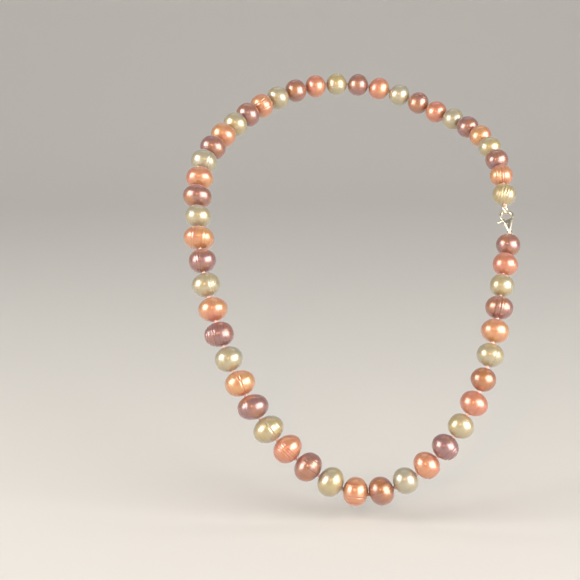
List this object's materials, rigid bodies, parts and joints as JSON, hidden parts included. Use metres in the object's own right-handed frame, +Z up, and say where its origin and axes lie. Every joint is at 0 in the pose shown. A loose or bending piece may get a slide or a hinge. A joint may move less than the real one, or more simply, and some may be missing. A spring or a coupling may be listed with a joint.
{
  "type": "pearl necklace",
  "caption": "Single-strand necklace of knotted oval freshwater pearls in mauve, orange and white, closed by a lobster-claw clasp and jump ring.",
  "frame": {"origin": "at the middle of the nape, on the inner side of the strand, where it bears on the neck of the wearer", "axes": "+Z up; -Y is the front of the wearer, where the strand hangs lowest; +X towards the side that carries the clasp"},
  "size_m": [0.1305, 0.1232, 0.1567],
  "materials": {
    "pearl_mauve": "satin nacre with a soft pink and bronze lustre",
    "pearl_orange": "satin nacre, peach to apricot",
    "pearl_white": "satin nacre, creamy white",
    "silk": "twisted pink silk bead cord",
    "silver": "polished sterling silver, slightly warm with wear"
  },
  "bodies": {
    "nape": {"pearl_31": "pearl_mauve", "pearl_32": "pearl_orange", "pearl_33": "pearl_white", "pearl_34": "pearl_mauve", "pearl_35": "pearl_orange", "pearl_36": "pearl_white", "pearl_37": "pearl_mauve", "pearl_38": "pearl_orange", "pearl_39": "pearl_white", "pearl_40": "pearl_mauve", "pearl_41": "pearl_orange", "pearl_42": "pearl_white", "pearl_43": "pearl_mauve", "pearl_44": "pearl_orange", "pearl_45": "pearl_white", "pearl_46": "pearl_mauve", "pearl_47": "pearl_orange", "pearl_48": "pearl_white", "silk_thread": "silk", "silk_knots": "silk"},
    "pair_49_30": {"pearl_49": "pearl_mauve", "pearl_30": "pearl_white"},
    "pair_50_29": {"pearl_50": "pearl_orange", "pearl_29": "pearl_orange"},
    "pair_51_28": {"pearl_51": "pearl_white", "pearl_28": "pearl_mauve"},
    "clasp_and_27": {"pearl_27": "pearl_white", "clasp_body": "silver", "clasp_rivet": "silver", "clasp_spring": "silver"},
    "clasp_lever": {"clasp_lever": "silver"},
    "clasp_ring": {"clasp_ring": "silver"},
    "pair_01_26": {"pearl_01": "pearl_mauve", "pearl_26": "pearl_orange"},
    "pair_02_25": {"pearl_02": "pearl_orange", "pearl_25": "pearl_mauve"},
    "pair_03_24": {"pearl_03": "pearl_white", "pearl_24": "pearl_white"},
    "pair_04_23": {"pearl_04": "pearl_mauve", "pearl_23": "pearl_orange"},
    "pair_05_22": {"pearl_05": "pearl_orange", "pearl_22": "pearl_mauve"},
    "pair_06_21": {"pearl_06": "pearl_white", "pearl_21": "pearl_white"},
    "pair_07_20": {"pearl_07": "pearl_mauve", "pearl_20": "pearl_orange"},
    "pair_08_19": {"pearl_08": "pearl_orange", "pearl_19": "pearl_mauve"},
    "pair_09_18": {"pearl_09": "pearl_white", "pearl_18": "pearl_white"},
    "pair_10_17": {"pearl_10": "pearl_mauve", "pearl_17": "pearl_orange"},
    "pair_11_16": {"pearl_11": "pearl_orange", "pearl_16": "pearl_mauve"},
    "pair_12_15": {"pearl_12": "pearl_white", "pearl_15": "pearl_white"},
    "front_pearls": {"pearl_13": "pearl_mauve", "pearl_14": "pearl_orange"}
  },
  "joints": [
    {"name": "bend_49_30", "type": "hinge", "parent": "nape", "child": "pair_49_30", "pos_m": [-0.00126, -0.04065, -0.02644], "axis": [-0.9999, -0.016, -0.0018], "range_deg": [-3, 12], "deforming": ["silk_thread", "silk_knots"]},
    {"name": "bend_50_29", "type": "hinge", "parent": "pair_49_30", "child": "pair_50_29", "pos_m": [-0.00192, -0.04822, -0.03168], "axis": [-0.9999, -0.01, -0.007], "range_deg": [-3, 12]},
    {"name": "bend_51_28", "type": "hinge", "parent": "pair_50_29", "child": "pair_51_28", "pos_m": [-0.00208, -0.05515, -0.03799], "axis": [-0.9999, -0.0099, -0.0083], "range_deg": [-3, 12]},
    {"name": "bend_clasp_27", "type": "hinge", "parent": "pair_51_28", "child": "clasp_and_27", "pos_m": [-0.00202, -0.06247, -0.04661], "axis": [-0.9998, 0.0019, 0.0204], "range_deg": [-3, 12]},
    {"name": "lever_pivot", "type": "hinge", "parent": "clasp_and_27", "child": "clasp_lever", "pos_m": [0.05802, -0.06617, -0.05185], "axis": [0.0608, 0.7413, -0.6684], "range_deg": [0, 18], "stiffness_Nm_per_rad": 0.006, "springref_deg": -11.46, "deforming": ["clasp_spring"]},
    {"name": "ring_swivel", "type": "hinge", "parent": "pair_51_28", "child": "clasp_ring", "pos_m": [0.05816, -0.06161, -0.04677], "axis": [-0.0671, 0.6712, 0.7383], "range_deg": [-5, 60]},
    {"name": "bend_01_26", "type": "hinge", "parent": "clasp_and_27", "child": "pair_01_26", "pos_m": [-0.00123, -0.06911, -0.05418], "axis": [-0.9996, 0.0098, 0.0246], "range_deg": [-3, 12]},
    {"name": "bend_02_25", "type": "hinge", "parent": "pair_01_26", "child": "pair_02_25", "pos_m": [-0.0019, -0.07534, -0.06138], "axis": [-0.9997, 0.022, 0.0138], "range_deg": [-3, 12]},
    {"name": "bend_03_24", "type": "hinge", "parent": "pair_02_25", "child": "pair_03_24", "pos_m": [-0.00219, -0.08071, -0.06902], "axis": [-0.9994, 0.0345, 0.0006], "range_deg": [-3, 12]},
    {"name": "bend_04_23", "type": "hinge", "parent": "pair_03_24", "child": "pair_04_23", "pos_m": [-0.00194, -0.08564, -0.077], "axis": [-0.9987, 0.0497, -0.0119], "range_deg": [-3, 12]},
    {"name": "bend_05_22", "type": "hinge", "parent": "pair_04_23", "child": "pair_05_22", "pos_m": [-0.00144, -0.0902, -0.08516], "axis": [-0.9976, 0.0651, -0.0232], "range_deg": [-3, 12]},
    {"name": "bend_06_21", "type": "hinge", "parent": "pair_05_22", "child": "pair_06_21", "pos_m": [-0.00097, -0.09412, -0.0936], "axis": [-0.9965, 0.0774, -0.0322], "range_deg": [-3, 12]},
    {"name": "bend_07_20", "type": "hinge", "parent": "pair_06_21", "child": "pair_07_20", "pos_m": [-0.00025, -0.09749, -0.10221], "axis": [-0.9957, 0.0848, -0.0373], "range_deg": [-3, 12]},
    {"name": "bend_08_19", "type": "hinge", "parent": "pair_07_20", "child": "pair_08_19", "pos_m": [0.0005, -0.1004, -0.11068], "axis": [-0.9953, 0.0879, -0.0397], "range_deg": [-3, 12]},
    {"name": "bend_09_18", "type": "hinge", "parent": "pair_08_19", "child": "pair_09_18", "pos_m": [0.001, -0.10276, -0.11885], "axis": [-0.9953, 0.0862, -0.043], "range_deg": [-3, 12]},
    {"name": "bend_10_17", "type": "hinge", "parent": "pair_09_18", "child": "pair_10_17", "pos_m": [0.00163, -0.10454, -0.12659], "axis": [-0.996, 0.0787, -0.0422], "range_deg": [-3, 12]},
    {"name": "bend_11_16", "type": "hinge", "parent": "pair_10_17", "child": "pair_11_16", "pos_m": [0.00233, -0.10592, -0.13361], "axis": [-0.9969, 0.0708, -0.0348], "range_deg": [-3, 12]},
    {"name": "bend_12_15", "type": "hinge", "parent": "pair_11_16", "child": "pair_12_15", "pos_m": [0.00267, -0.10702, -0.13971], "axis": [-0.997, 0.068, -0.0369], "range_deg": [-3, 12]},
    {"name": "bend_front", "type": "hinge", "parent": "pair_12_15", "child": "front_pearls", "pos_m": [0.00287, -0.10785, -0.1447], "axis": [-0.9965, 0.0679, -0.0485], "range_deg": [-3, 12]}
  ]
}
